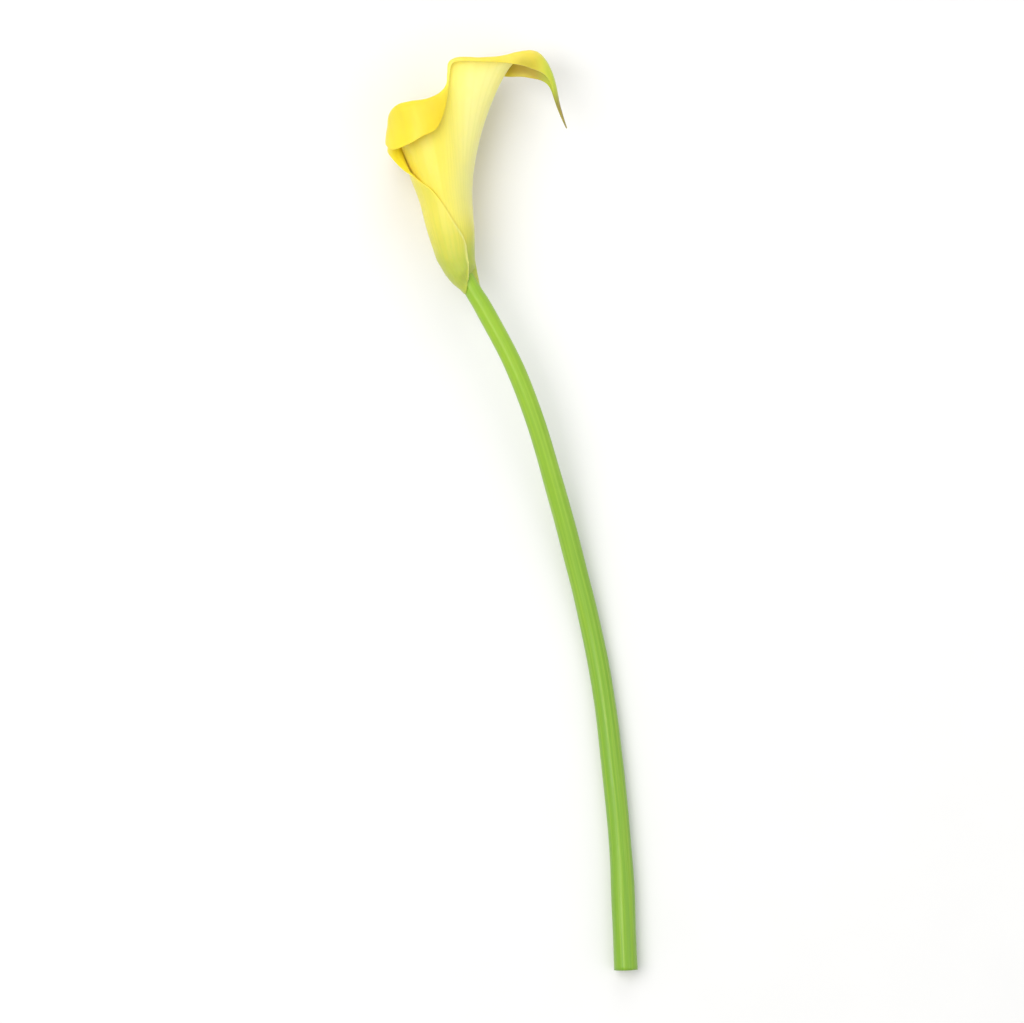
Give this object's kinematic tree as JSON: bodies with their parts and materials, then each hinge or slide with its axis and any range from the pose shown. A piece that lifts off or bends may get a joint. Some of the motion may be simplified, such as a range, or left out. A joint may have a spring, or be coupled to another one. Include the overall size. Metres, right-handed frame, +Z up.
{
  "type": "calla lily",
  "caption": "Yellow calla lily as picked: a wrapped funnel spathe with a rolled lip and a drooping green tip, a spadix inside, and a round green stem.",
  "frame": {"origin": "on the surface it lies on, under the middle of its box", "axes": "+Y from the cut end of the stem towards the flower, +X towards the side the tip droops to, +Z up from the surface"},
  "size_m": [0.0798, 0.2906, 0.0325],
  "materials": {
    "stem": "smooth fresh stalk, slightly glossy",
    "spathe": "soft satin petal, translucent",
    "spadix": "matte, pollen-covered florets"
  },
  "bodies": {
    "root": {"stem": "stem", "spathe": "spathe", "spadix": "spadix"}
  },
  "joints": []
}
